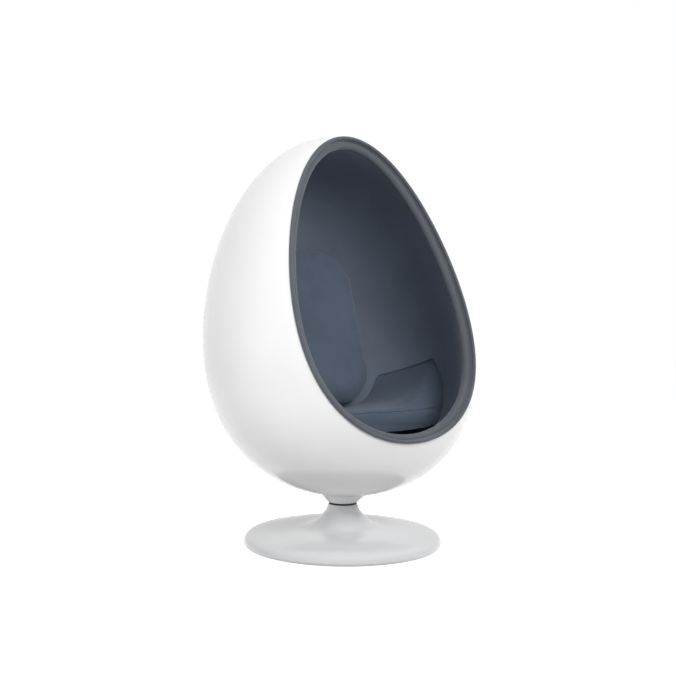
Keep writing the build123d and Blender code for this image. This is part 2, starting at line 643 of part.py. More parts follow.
# ---------------------------------------------------------------- back cushion
def back_outline(shrink, level):
    """Rounded square of the back cushion in its own plane, at a level over its middle."""
    half_width = BACK_WIDTH / 2 - shrink
    half_height = BACK_HEIGHT / 2 - shrink
    corner = BACK_CORNER - shrink * BACK_CORNER_SHARE
    pull = BACK_SIDE_PULL
    plane = Plane((0, 0, level))

    def arc(*points):
        return Edge.make_three_point_arc(*[plane.from_local_coords(Vector(*p, 0)) for p in points])

    x_in, y_in = half_width - corner, half_height - corner
    diagonal = corner * math.sqrt(0.5)
    edges = []
    for sx, sy in ((1, 1), (-1, 1), (-1, -1), (1, -1)):
        side = (sx * half_width, sy * y_in)
        end = (sx * x_in, sy * half_height)
        mid = (sx * (x_in + diagonal), sy * (y_in + diagonal))
        edges.append((side, mid, end) if sx * sy > 0 else (end, mid, side))
    lines = []
    for k, corner_arc in enumerate(edges):
        start, stop = corner_arc[2], edges[(k + 1) % 4][0]
        middle = ((start[0] + stop[0]) / 2, (start[1] + stop[1]) / 2)
        inward = Vector(-middle[0], -middle[1], 0).normalized() * pull
        bent = (middle[0] + inward.X, middle[1] + inward.Y)
        lines += [arc(*corner_arc), arc(start, bent, stop)]
    return Face(Wire(lines))


def back_levels(inset):
    """Pairs of draw-in and level from the rear face to the front face."""
    levels = []
    half_edge, half_thickness = BACK_EDGE / 2, BACK_THICKNESS / 2
    for k in range(-BACK_STEPS, BACK_STEPS + 1):
        share = abs(k) / BACK_STEPS
        edge = half_edge * min(1, 2 * share)
        swell = (half_thickness - half_edge) * math.sqrt(1 - (1 - share) ** 2)
        level = math.copysign(edge + swell, k)
        levels.append((BACK_CROWN_INSET * share ** BACK_DOME + inset, level * (1 - inset / half_thickness)))
    return levels


def back_form(inset):
    return loft([back_outline(shrink, level) for shrink, level in back_levels(inset)], ruled=True)


def place_back(form, height, depth):
    """Stand the cushion up, leaning, its middle at depth and height."""
    plane = Plane(origin=(0, depth, height), x_dir=(1, 0, 0),
                  z_dir=(0, -math.cos(BACK_TILT), math.sin(BACK_TILT)))
    return plane * form


def back_points():
    """Sample points of the cushion's skin in its own plane."""
    points = []
    for shrink, level in back_levels(0):
        wire = back_outline(shrink, level).outer_wire()
        points += [wire @ (k / 48) for k in range(48)]
    return points


def settle_back():
    """Height and depth of the cushion's middle where it rests on the seat and leans on the bowl."""
    samples = [(p.X, p.Y, p.Z) for p in back_points()]
    up = (math.sin(BACK_TILT), math.cos(BACK_TILT))
    out = (-math.cos(BACK_TILT), math.sin(BACK_TILT))

    def world(sample, height, depth):
        x, v, w = sample
        return x, depth + up[0] * v + out[0] * w, height + up[1] * v + out[1] * w

    def clear_of_bowl(height, depth):
        for sample in samples:
            x, y, z = world(sample, height, depth)
            if abs(x) > egg_half_width(y, z, LINING_FACE) - 2 * SOFT_GAP:
                return False
        return True

    height, depth = SEAT_FRONT_TOP + BACK_HEIGHT / 2, 0.0
    for _ in range(6):
        near, far = -EGG_RADIUS, EGG_RADIUS
        for _ in range(24):
            middle = (near + far) / 2
            near, far = (middle, far) if clear_of_bowl(height, middle) else (near, middle)
        depth = near
        tops = {}
        drop = math.inf
        for sample in samples:
            x, y, z = world(sample, height, depth)
            if sample[1] < 0 and y < SEAT_REAR_Y:
                key = (round(x), round(y))
                tops[key] = tops.get(key) or seat_layer(x, y, 0, SEAT_CROWN)
                drop = min(drop, z - tops[key])
        height -= drop - 2 * SOFT_GAP
    return height, depth


# ---------------------------------------------------------------- build
def all_nodes():
    outer_egg, cavity = egg_solid(0), egg_solid(SHELL_WALL)
    foam_egg, face_egg = egg_solid(FOAM_INSET), egg_solid(FOAM_FACE)
    cloth_egg, hollow_egg = egg_solid(LINING_INSET), egg_solid(LINING_FACE)
    roll_core = roll_tube(ROLL_RADIUS - ROLL_COVER)
    cover, ease = COVER_THICKNESS, COVER_THICKNESS + COVER_EASE
    height, depth = settle_back()
    return {
        "trumpet_base": trumpet_base(),
        "floor_pad": floor_pad(),
        "ballast_plate": ballast_plate(),
        "base_screws": base_screws(),
        "pedestal_column": pedestal_column(),
        "column_bolts": column_bolts(),
        "lower_bush": lower_bush(),
        "upper_bush": upper_bush(),
        "bearing_lower_race": bearing_lower_race(),
        "bearing_balls": bearing_balls(),
        "ball_cage": ball_cage(),
        "bearing_upper_race": bearing_upper_race(),
        "swivel_spindle": swivel_spindle(),
        "retaining_washer": retaining_washer(),
        "retaining_clip": retaining_clip(),
        "dust_ring": dust_ring(),
        "shell_collar": shell_collar(outer_egg),
        "egg_shell": egg_shell(outer_egg, cavity),
        "reinforcing_pad": reinforcing_pad(foam_egg),
        "mounting_washers": mounting_washers(),
        "mounting_bolts": mounting_bolts(),
        **foam_panels(foam_egg, face_egg),
        "lining_cloth": lining_cloth(cloth_egg, hollow_egg),
        "edge_piping": edge_piping(),
        "rim_roll_cover": roll_tube(ROLL_RADIUS) - roll_core,
        "rim_roll_foam": roll_tube(ROLL_RADIUS - ROLL_COVER - COVER_EASE),
        "seat_cushion_cover": seat_form(0) - seat_form(cover),
        "seat_cushion_foam": seat_form(ease),
        "back_cushion_cover": place_back(back_form(0) - back_form(cover), height, depth),
        "back_cushion_filling": place_back(back_form(ease), height, depth),
    }


os.makedirs("parts", exist_ok=True)
for name, shape in all_nodes().items():
    export_step(shape, f"parts/{name}.step")
    print(name, "volume", round(shape.volume / 1000, 1), "cm3")
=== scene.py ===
import json
import math

import bmesh
import bpy
import numpy as np
from mathutils import Matrix, Vector, noise
from mathutils.bvhtree import BVHTree

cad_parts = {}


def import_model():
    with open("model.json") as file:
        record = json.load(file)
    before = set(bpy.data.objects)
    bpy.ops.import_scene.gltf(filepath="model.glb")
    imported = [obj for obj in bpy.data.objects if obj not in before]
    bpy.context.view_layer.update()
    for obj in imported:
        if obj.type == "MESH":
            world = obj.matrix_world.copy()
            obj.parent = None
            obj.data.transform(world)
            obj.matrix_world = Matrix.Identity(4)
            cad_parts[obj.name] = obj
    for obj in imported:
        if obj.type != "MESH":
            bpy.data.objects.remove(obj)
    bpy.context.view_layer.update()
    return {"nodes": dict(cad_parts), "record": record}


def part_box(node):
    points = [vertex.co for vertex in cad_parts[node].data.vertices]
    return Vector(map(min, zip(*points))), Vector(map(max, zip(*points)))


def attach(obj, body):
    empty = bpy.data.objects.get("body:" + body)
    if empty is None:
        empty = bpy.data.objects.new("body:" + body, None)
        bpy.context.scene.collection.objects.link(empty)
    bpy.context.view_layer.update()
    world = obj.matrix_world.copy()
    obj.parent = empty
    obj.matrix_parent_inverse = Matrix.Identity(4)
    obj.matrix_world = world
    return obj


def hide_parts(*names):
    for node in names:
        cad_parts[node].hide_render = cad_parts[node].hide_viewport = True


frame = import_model()
NODES = frame["nodes"]

# Metres. +Z is up, the opening faces -Y, the origin is on the floor on the swivel axis.

# ---------------------------------------------------------------- the egg's form, as in the CAD model
EGG_HALF_LENGTH = 0.562
EGG_RADIUS = 0.4125
EGG_TAPER = 0.272
EGG_SWELL = 0.105
EGG_DEPTH = 0.977
EGG_DEPTH_RISE = 0.312
EGG_DEPTH_SWELL = 0.059
EGG_AXIS_BOW = 0.0394
EGG_LEAN = math.radians(16.4)
EGG_CENTRE = np.array((0.0, 0.0568, 0.700335))
OPENING_LEAN = math.radians(19.4)
OPENING_REACH = 0.2448
ALONG = np.array((0, math.sin(EGG_LEAN), math.cos(EGG_LEAN)))
ACROSS = np.array((0, math.cos(EGG_LEAN), -math.sin(EGG_LEAN)))
OUTWARD = np.array((0, -math.cos(OPENING_LEAN), math.sin(OPENING_LEAN)))
UPSLOPE = np.array((0, math.sin(OPENING_LEAN), math.cos(OPENING_LEAN)))
SIDE = np.array((1.0, 0.0, 0.0))
OPENING_POINT = EGG_CENTRE + OUTWARD * OPENING_REACH

# ---------------------------------------------------------------- sizes of the soft pieces
CLOTH_BACK_INSET = 0.033     # lining cloth's two faces inside the egg
CLOTH_FACE_INSET = 0.035
LINING_EDGE = 0.0262         # lining's edge behind the opening's plane, tucked against the roll
ROLL_INSET = 0.0180
ROLL_SETBACK = 0.0160
ROLL_RADIUS = 0.0131
PIPING_INSET = 0.0042
PIPING_FORWARD = 0.0058
PIPING_RADIUS = 0.0055
TAPE_INSET = 0.0108          # the tape that closes the groove between piping and roll
TAPE_SETBACK = 0.0033
TAPE_HALF_WIDTH = 0.0059
TAPE_HALF_THICKNESS = 0.0013
TAPE_LEAN = math.radians(67)
LINING_WAVES = ((0.0011, 0.16, 1), (0.0005, 0.05, 2))  # half depth, size and seed of its unevenness
LINING_PUFF = 0.0034         # the most that the lining stands off its foam
BOWL_MIDDLE_DEPTH = 0.20     # the pod's middle, behind the opening's plane
CUSHION_GAP = 0.0012         # least room between a cushion and the lining
SEAT_FRONT_Y = -0.062
SEAT_FRONT_TOP = 0.411
SEAT_THICKNESS = 0.072
SEAT_REAR_Y = 0.2169
SEAT_REAR_DROP = 0.016
SEAT_CLIMB, SEAT_CLIMB_RUN, SEAT_REAR_CLIMB = 0.162, 0.085, 0.107
SEAT_CLIMB_POWER = 5
SEAT_CROWN = 0.004
SEAT_EDGE_ROUND = 0.009
SEAT_COVER = 0.002           # the slab stays this far inside the cover
SEAT_OVERREACH = 0.009       # how far the slab runs on through the bowl's sides
CREASE_BAND = 0.012          # next to the bowl, where the slab's top is cut off at the crease
CREASE_TUCK = 0.05           # share of what is cut off that goes in under the crease
STEEP_WALL = 0.10            # half width of the bowl over which its wall is steep
BACK_WIDTH, BACK_HEIGHT, BACK_CORNER = 0.482, 0.548, 0.130
BACK_LEAN = math.radians(19.0)
BACK_WELT_SPREAD = 1.04      # the welt is looked for this much outside the cushion's outline
WELT_RADIUS = 0.0021
WELT_SIDES = 10
SIDE_WELT_INSET = 0.0056     # the seat's side welts, inside the lining's face
SIDE_WELT_DROP = 0.001       # and under the crease
FOOT_RADIUS, FOOT_Z, FOOT_REACH = 0.0450, 0.1310, 0.112  # the shell's flare: its lip, and where it starts
FOOT_LIP_SHARE, FOOT_LIP_RISE = 0.872, 0.0066            # the lip's inner edge, and its return upwards


def hide_names():
    """Soft CAD solids that pieces of this scene stand for."""
    return {
        "lining": ("lining_cloth",),
        "roll": ("rim_roll_cover", "rim_roll_foam"),
        "piping": ("edge_piping",),
        "seat": ("seat_cushion_cover", "seat_cushion_foam"),
        "back": ("back_cushion_cover", "back_cushion_filling"),
        "foot": ("shell_collar",),
    }


def half_width(y, z, inset):
    """Half width of the egg at places on its centre plane, and -1 outside it."""
    place_y, place_z = y - EGG_CENTRE[1], z - EGG_CENTRE[2]
    u = (place_y * ALONG[1] + place_z * ALONG[2]) / (EGG_HALF_LENGTH - inset)
    v = place_y * ACROSS[1] + place_z * ACROSS[2] + EGG_AXIS_BOW * u * u
    round_end = np.sqrt(np.clip(1 - u * u, 1e-12, 1))
    girth = (EGG_RADIUS - inset) * round_end * (1 - EGG_TAPER * u + EGG_SWELL * u * u)
    depth = girth * (EGG_DEPTH + EGG_DEPTH_RISE * u + EGG_DEPTH_SWELL * u * u)
    share = 1 - (v / depth) ** 2
    return np.where((np.abs(u) < 1) & (share > 0), girth * np.sqrt(np.clip(share, 0, 1)), -1.0)


def inside_egg(points, inset):
    return np.abs(points[..., 0]) < half_width(points[..., 1], points[..., 2], inset)


def egg_hit(start, directions, inset):
    """Where rays from a point inside leave the egg drawn in by inset."""
    near = np.zeros(directions.shape[:-1])
    far = np.full(directions.shape[:-1], 2 * EGG_HALF_LENGTH)
    for _ in range(40):
        middle = (near + far) / 2
        inside = inside_egg(start + directions * middle[..., None], inset)
        near, far = np.where(inside, middle, near), np.where(inside, far, middle)
    return start + directions * near[..., None]


def setback(points):
    """How far points lie behind the opening's plane."""
    return -((points - OPENING_POINT) @ OUTWARD)


# ---------------------------------------------------------------- mesh helpers
def new_piece(name, vertices, faces, smooth=True):
    mesh = bpy.data.meshes.new(name)
    mesh.from_pydata([tuple(v) for v in vertices], [], faces)
    mesh.validate()
    mesh.update()
    mesh.polygons.foreach_set("use_smooth", [smooth] * len(mesh.polygons))
    piece = bpy.data.objects.new(name, mesh)
    bpy.context.scene.collection.objects.link(piece)
    return piece


def grid_faces(rows, columns, close_rows=False, close_columns=True, offset=0):
    """Quads of a rows by columns grid of vertices."""
    faces = []
    for r in range(rows if close_rows else rows - 1):
        for c in range(columns if close_columns else columns - 1):
            r2, c2 = (r + 1) % rows, (c + 1) % columns
            faces.append((offset + r * columns + c, offset + r * columns + c2,
                          offset + r2 * columns + c2, offset + r2 * columns + c))
    return faces


def coordinates(piece):
    co = np.empty(len(piece.data.vertices) * 3, np.float32)
    piece.data.vertices.foreach_get("co", co)
    return co.reshape(-1, 3).astype(float)


def set_coordinates(piece, points):
    piece.data.vertices.foreach_set("co", np.asarray(points, np.float32).ravel())
    piece.data.update()


def apply_modifiers(piece):
    bpy.context.view_layer.update()
    evaluated = piece.evaluated_get(bpy.context.evaluated_depsgraph_get())
    mesh = bpy.data.meshes.new_from_object(evaluated)
    piece.modifiers.clear()
    piece.data = mesh
    mesh.polygons.foreach_set("use_smooth", [True] * len(mesh.polygons))


def wobble(point, size, seed):
    """Smooth noise from -1 to 1 whose waves are about size across."""
    return noise.noise(Vector(point) / size + Vector((seed, 2.3 * seed, 0.7 * seed)))


def tube(name, path, radii, sides, closed, flat=OUTWARD):
    """A round tube along a path that is nowhere parallel to flat, with a radius for each point."""
    count = len(path)
    if closed:
        tangents = np.roll(path, -1, 0) - np.roll(path, 1, 0)
    else:
        tangents = np.gradient(path, axis=0)
    tangents /= np.linalg.norm(tangents, axis=1)[:, None]
    turn = np.linspace(0, 2 * math.pi, sides, endpoint=False)
    across = np.cross(tangents, flat)
    across /= np.linalg.norm(across, axis=1)[:, None]
    upright = np.cross(across, tangents)
    rings = (path[:, None] + across[:, None] * np.cos(turn)[None, :, None] * radii[:, None, None]
             + upright[:, None] * np.sin(turn)[None, :, None] * radii[:, None, None])
    vertices = rings.reshape(-1, 3)
    faces = grid_faces(count, sides, close_rows=closed)
    if not closed:
        faces += [tuple(range(sides))[::-1], tuple(range((count - 1) * sides, count * sides))]
    return new_piece(name, vertices, faces)


# ---------------------------------------------------------------- rim
def rim_line(inset, forward, count):
    """Evenly spaced points inside the shell's edge, forward of the opening's plane.

    Also gives their inward directions and the line's length.
    """
    turn = np.linspace(0, 2 * math.pi, 4 * count, endpoint=False) - math.pi / 2
    rays = SIDE * np.cos(turn)[:, None] + UPSLOPE * np.sin(turn)[:, None]
    edge = egg_hit(OPENING_POINT, rays, 0.0)
    run = np.roll(edge, -1, 0) - np.roll(edge, 1, 0)
    run /= np.linalg.norm(run, axis=1)[:, None]
    inward = np.cross(OUTWARD, run)
    inward *= -np.sign(np.sum(inward * rays, axis=1))[:, None]
    line = edge + inward * inset + OUTWARD * forward
    loop = np.vstack([line, line[:1]])
    lengths = np.concatenate([[0], np.cumsum(np.linalg.norm(np.diff(loop, axis=0), axis=1))])
    places = np.linspace(0, lengths[-1], count, endpoint=False)
    points = np.column_stack([np.interp(places, lengths, loop[:, k]) for k in range(3)])
    turned = np.vstack([inward, inward[:1]])
    directions = np.column_stack([np.interp(places, lengths, turned[:, k]) for k in range(3)])
    return points, directions / np.linalg.norm(directions, axis=1)[:, None], lengths[-1]


def swept(name, points, inward, section):
    """Sweeps a closed section, whose points are (inward, outward of the plane), round the rim."""
    rings = points[:, None] + inward[:, None] * section[..., 0, None] + OUTWARD * section[..., 1, None]
    rows, columns = rings.shape[:2]
    return new_piece(name, rings.reshape(-1, 3), grid_faces(rows, columns, close_rows=True))


def circle_section(radius, sides):
    turn = np.linspace(0, 2 * math.pi, sides, endpoint=False)
    return np.column_stack([np.cos(turn), np.sin(turn)]) * radius


ROLL_SEAM = (0.355, 0.0030)  # share of the way round from the foot, and half width


def rim_roll():
    """Padded roll: slightly uneven, pinched at the seam where its cover's ends meet."""
    count, sides = 720, 40
    points, inward, length = rim_line(ROLL_INSET, -ROLL_SETBACK, count)
    section = np.repeat(circle_section(ROLL_RADIUS, sides)[None], count, 0)
    share = np.arange(count) / count
    for k in range(count):
        swell = 1 + 0.030 * wobble(points[k], 0.10, 3) + 0.016 * wobble(points[k], 0.035, 5)
        away = (share[k] - ROLL_SEAM[0]) * length
        swell -= 0.075 * math.exp(-(away / ROLL_SEAM[1]) ** 2)
        section[k] *= min(swell, 1.03)
        for j in range(sides):
            skin = points[k] + inward[k] * section[k, j, 0] + OUTWARD * section[k, j, 1]
            section[k, j] *= 1 + 0.010 * wobble(skin, 0.012, 9)
    return swept("rim_roll", points, inward, section)


def rim_piping():
    """Piping cord on the shell's edge; its flange, tacked down beside the roll, is the groove tape."""
    count, sides = 720, 20
    points, inward, length = rim_line(PIPING_INSET, PIPING_FORWARD, count)
    section = np.repeat(circle_section(PIPING_RADIUS, sides)[None], count, 0)
    share = np.arange(count) / count
    for k in range(count):
        away = min(share[k], 1 - share[k]) * length
        section[k] *= 1 - 0.10 * math.exp(-(away / 0.0016) ** 2) + 0.012 * wobble(points[k], 0.03, 7)
    return swept("rim_piping", points, inward, section)


def groove_tape():
    """Cloth flange that closes the groove between the piping and the roll."""
    count, sides = 480, 16
    points, inward, _ = rim_line(TAPE_INSET, -TAPE_SETBACK, count)
    turn = np.linspace(0, 2 * math.pi, sides, endpoint=False)
    flat = np.column_stack([np.cos(turn) * TAPE_HALF_WIDTH, np.sin(turn) * TAPE_HALF_THICKNESS])
    cosine, sine = math.cos(TAPE_LEAN), math.sin(TAPE_LEAN)
    section = np.column_stack([flat[:, 0] * cosine + flat[:, 1] * sine,
                               -flat[:, 0] * sine + flat[:, 1] * cosine])
    return swept("groove_tape", points, inward, np.repeat(section[None], count, 0))


# ---------------------------------------------------------------- lining
def lining():
    """Cloth over the foam: a closed skin with a slightly uneven, padded face."""
    columns, rows = 288, 150
    eye = OPENING_POINT - OUTWARD * 0.060
    turn = np.linspace(0, 2 * math.pi, columns, endpoint=False)
    sideways = SIDE * np.cos(turn)[:, None] + UPSLOPE * np.sin(turn)[:, None]

    def rays(angles):
        return -OUTWARD * np.cos(angles)[..., None] + sideways[None] * np.sin(angles)[..., None]

    low, high = np.full((1, columns), 0.3), np.full((1, columns), math.pi - 0.2)
    for _ in range(40):
        middle = (low + high) / 2
        behind = setback(egg_hit(eye, rays(middle), CLOTH_FACE_INSET)) > LINING_EDGE
        low, high = np.where(behind, middle, low), np.where(behind, high, middle)
    angles = low * ((np.arange(rows) + 1) / rows)[:, None]
    directions = rays(angles)
    face, back = egg_hit(eye, directions, CLOTH_FACE_INSET), egg_hit(eye, directions, CLOTH_BACK_INSET)
    for r in range(rows):
        fade = min(1.0, (rows - 1 - r) / 12)
        for c in range(columns):
            stand_off = sum(half * (1 + wobble(face[r, c], size, seed)) for half, size, seed in LINING_WAVES)
            face[r, c] -= directions[r, c] * stand_off * fade
    pole_face = egg_hit(eye, -OUTWARD[None], CLOTH_FACE_INSET)
    pole_back = egg_hit(eye, -OUTWARD[None], CLOTH_BACK_INSET)
    vertices = np.vstack([face.reshape(-1, 3), back.reshape(-1, 3), pole_face, pole_back])
    size = rows * columns
    faces = grid_faces(rows, columns) + [f[::-1] for f in grid_faces(rows, columns, offset=size)]
    for c in range(columns):
        c2, last = (c + 1) % columns, (rows - 1) * columns
        faces.append((2 * size, c2, c))
        faces.append((2 * size + 1, size + c, size + c2))
        faces.append((last + c, last + c2, size + last + c2, size + last + c))
    piece = new_piece("lining", vertices, faces)
    turn_outward(piece)
    return piece


def turn_outward(piece):
    """Makes a closed mesh's faces point out of it."""
    work = bmesh.new()
    work.from_mesh(piece.data)
    bmesh.ops.recalc_face_normals(work, faces=work.faces)
    work.to_mesh(piece.data)
    work.free()


# ---------------------------------------------------------------- cushions
def keep_in_bowl(points):
    """Draws points that reach past the lining back along the line to the pod's middle."""
    middle = OPENING_POINT - OUTWARD * BOWL_MIDDLE_DEPTH
    reach = points - middle
    lengths = np.linalg.norm(reach, axis=1)[:, None]
    directions = reach / lengths
    limit = egg_hit(middle, directions, CLOTH_FACE_INSET + LINING_PUFF + CUSHION_GAP)
    room = np.linalg.norm(limit - middle, axis=1)[:, None]
    return middle + directions * np.minimum(lengths, room)


def soften(piece, rounds):
    """Takes the voxels' steps off."""
    smooth = piece.modifiers.new("Smooth", "SMOOTH")
    smooth.iterations = rounds
    apply_modifiers(piece)


def puff(piece, voxel, rounds, pressure, cap, steps=20):
    """Remeshes a cushion and blows it up as cloth, with the movement capped."""
    remesh = piece.modifiers.new("Remesh", "REMESH")
    remesh.mode = "VOXEL"
    remesh.voxel_size = voxel
    apply_modifiers(piece)
    soften(piece, rounds)
    before = coordinates(piece)
    cloth = piece.modifiers.new("Cloth", "CLOTH")
    cloth.settings.quality = 6
    cloth.settings.mass = 0.25
    cloth.settings.tension_stiffness = 18
    cloth.settings.compression_stiffness = 18
    cloth.settings.bending_stiffness = 0.8
    cloth.settings.use_pressure = True
    cloth.settings.uniform_pressure_force = pressure
    cloth.settings.effector_weights.gravity = 0
    cloth.point_cache.frame_start, cloth.point_cache.frame_end = 1, steps
    for step in range(1, steps + 1):
        bpy.context.scene.frame_set(step)
    apply_modifiers(piece)
    bpy.context.scene.frame_set(1)
    move = coordinates(piece) - before
    size = np.linalg.norm(move, axis=1)[:, None]
    move *= np.minimum(1, cap / np.maximum(size, 1e-9))
    set_coordinates(piece, before + move)


def refine(piece, levels=1):
    subdivide = piece.modifiers.new("Subdivision", "SUBSURF")
    subdivide.levels = subdivide.render_levels = levels
    apply_modifiers(piece)


def surface_line(piece, targets, lift):
    """The points of a piece's skin nearest to targets, lifted off it."""
    tree = BVHTree.FromObject(piece, bpy.context.evaluated_depsgraph_get())
    points = []
    for target in targets:
        place, normal, _, _ = tree.find_nearest(Vector(target))
        points.append(np.array(place + normal * lift))
    return np.array(points)


def smoothed(line, rounds, closed):
    """A line with its kinks evened out; the ends of an open one stay."""
    for _ in range(rounds):
        if closed:
            line = (np.roll(line, 1, 0) + 2 * line + np.roll(line, -1, 0)) / 4
        else:
            line[1:-1] = (line[:-2] + 2 * line[1:-1] + line[2:]) / 4
    return line


def seat_climb(y):
    """How far the seat cushion's sides climb over its middle, as in the CAD model."""
    behind = np.clip(y, SEAT_FRONT_Y, SEAT_REAR_Y) - SEAT_FRONT_Y
    rise = SEAT_CLIMB * np.sin(math.pi / 2 * np.minimum(1.0, behind / SEAT_CLIMB_RUN))
    past = np.maximum(0.0, behind - SEAT_CLIMB_RUN) / (SEAT_REAR_Y - SEAT_FRONT_Y - SEAT_CLIMB_RUN)
    return rise - (SEAT_CLIMB - SEAT_REAR_CLIMB) * past


def seat_middle(y):
    """Height of the seat cushion's top on its centre line, without its crown."""
    share = np.clip((y - SEAT_FRONT_Y) / (SEAT_REAR_Y - SEAT_FRONT_Y), 0, 1)
    return SEAT_FRONT_TOP - SEAT_REAR_DROP * share


def seat_edge(y, inset):
    """Height and half width of the line where the seat cushion's top meets the bowl."""
    height = seat_middle(y) + seat_climb(y)
    return height, half_width(y, height, inset)


def seat_slab():
    """The seat cushion's form, as in the CAD model but running on through the bowl's sides."""
    columns = 121
    front = SEAT_FRONT_Y + SEAT_COVER
    steps = [(front, SEAT_EDGE_ROUND), (front + 0.3 * SEAT_EDGE_ROUND, 0.3 * SEAT_EDGE_ROUND)]
    steps += [(y, 0.0) for y in np.linspace(front + SEAT_EDGE_ROUND, SEAT_REAR_Y - SEAT_COVER, 50)]
    rings = []
    for y, drawn in steps:
        reach = float(seat_edge(np.array(y), CLOTH_FACE_INSET)[1])
        xs = np.linspace(-1, 1, columns) * (reach + SEAT_OVERREACH)
        across = np.abs(xs) / reach
        form = seat_middle(y) + seat_climb(y) * across ** SEAT_CLIMB_POWER
        top = form + SEAT_CROWN * (1 - across ** 2) - SEAT_COVER - drawn
        under = form - SEAT_THICKNESS + SEAT_COVER + drawn
        place = np.full(columns, y)
        rings += [np.column_stack([xs, place, top]), np.column_stack([xs, place, under])[::-1]]
    rows, size = len(steps), 2 * columns
    faces = grid_faces(rows, size)
    for first in (0, (rows - 1) * size):
        last = first + size - 1
        faces += [(first + j, first + j + 1, last - j - 1, last - j) for j in range(columns - 1)]
    piece = new_piece("seat_cushion", np.vstack(rings), faces)
    turn_outward(piece)
    return piece


def end_at_crease(points):
    """Stops the seat cushion at its crease on the lining: what runs on past it goes in just under it."""
    x, y, z = points.T
    inset = CLOTH_FACE_INSET + LINING_PUFF + CUSHION_GAP
    height, reach = seat_edge(y, inset)
    past = np.maximum(0, z - height)
    z = np.where(np.abs(x) > reach - CREASE_BAND, np.minimum(z, height - CREASE_TUCK * past), z)
    wall = half_width(y, z, inset)
    x = np.where((np.abs(x) > wall) & (wall > STEEP_WALL), np.sign(x) * wall, x)
    return keep_in_bowl(np.column_stack([x, y, z]))


def seat_cushion():
    piece = seat_slab()
    puff(piece, voxel=0.0050, rounds=5, pressure=3.0, cap=0.003)
    set_coordinates(piece, end_at_crease(coordinates(piece)))
    refine(piece)
    return piece


def back_cushion(seat):
    piece = bpy.data.objects.new("back_cushion", NODES["back_cushion_filling"].data.copy())
    bpy.context.scene.collection.objects.link(piece)
    puff(piece, voxel=0.006, rounds=8, pressure=4.0, cap=0.006)
    points = keep_in_bowl(coordinates(piece))
    tree = BVHTree.FromObject(seat, bpy.context.evaluated_depsgraph_get())
    for k, point in enumerate(points):
        if point[2] < 0.60:
            hit = tree.ray_cast(Vector((point[0], point[1], 0.75)), Vector((0, 0, -1)))[0]
            if hit is not None and point[2] < hit.z + CUSHION_GAP:
                points[k][2] = hit.z + CUSHION_GAP
    set_coordinates(piece, points)
    refine(piece)
    return piece


def seat_welts(seat):
    """Sewn edges of the seat cushion: along the bowl on both sides, and along its front's top and foot."""
    pieces = []
    for name, side in (("seat_welt_left", 1), ("seat_welt_right", -1)):
        ys = np.linspace(SEAT_FRONT_Y + 0.002, SEAT_REAR_Y - 0.010, 160)
        height, reach = seat_edge(ys, CLOTH_FACE_INSET + SIDE_WELT_INSET)
        line = np.column_stack([side * reach, ys, height - SIDE_WELT_DROP])
        pieces.append(tube(name, line, np.full(len(line), WELT_RADIUS), WELT_SIDES, closed=False, flat=SIDE))
    for name, height, beyond in (("seat_welt_top", SEAT_FRONT_TOP, 0.01),
                                 ("seat_welt_low", SEAT_FRONT_TOP - SEAT_THICKNESS, -0.01)):
        reach = float(half_width(np.array(SEAT_FRONT_Y), np.array(height), CLOTH_FACE_INSET + 0.010))
        targets = [(x, SEAT_FRONT_Y - 0.01, height + beyond) for x in np.linspace(-reach, reach, 260)]
        line = smoothed(surface_line(seat, targets, WELT_RADIUS * 0.15), 20, closed=False)
        pieces.append(tube(name, line, np.full(len(line), WELT_RADIUS), WELT_SIDES, closed=False))
    return pieces


def back_welt(back):
    """The sewn edge that runs round the back cushion."""
    low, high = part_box("back_cushion_cover")
    middle = np.array(((low.x + high.x) / 2, (low.y + high.y) / 2, (low.z + high.z) / 2))
    up = np.array((0, math.sin(BACK_LEAN), math.cos(BACK_LEAN)))
    targets = []
    x_in, y_in = BACK_WIDTH / 2 - BACK_CORNER, BACK_HEIGHT / 2 - BACK_CORNER
    for quarter in range(4):
        sx, sy = ((1, 1), (-1, 1), (-1, -1), (1, -1))[quarter]
        for k in range(40):
            turn = math.radians(90 * quarter + 90 * k / 39)
            targets.append((sx * x_in + BACK_CORNER * math.cos(turn),
                            sy * y_in + BACK_CORNER * math.sin(turn)))
    flat = np.array(targets)
    loop = np.vstack([flat, flat[:1]])
    lengths = np.concatenate([[0], np.cumsum(np.linalg.norm(np.diff(loop, axis=0), axis=1))])
    places = np.linspace(0, lengths[-1], 420, endpoint=False)
    flat = np.column_stack([np.interp(places, lengths, loop[:, k]) for k in range(2)])
    points = middle + SIDE * flat[:, :1] * BACK_WELT_SPREAD + up * flat[:, 1:] * BACK_WELT_SPREAD
    line = smoothed(surface_line(back, points, WELT_RADIUS * 0.1), 12, closed=True)
    return tube("back_welt", line, np.full(len(line), WELT_RADIUS), WELT_SIDES, closed=True)


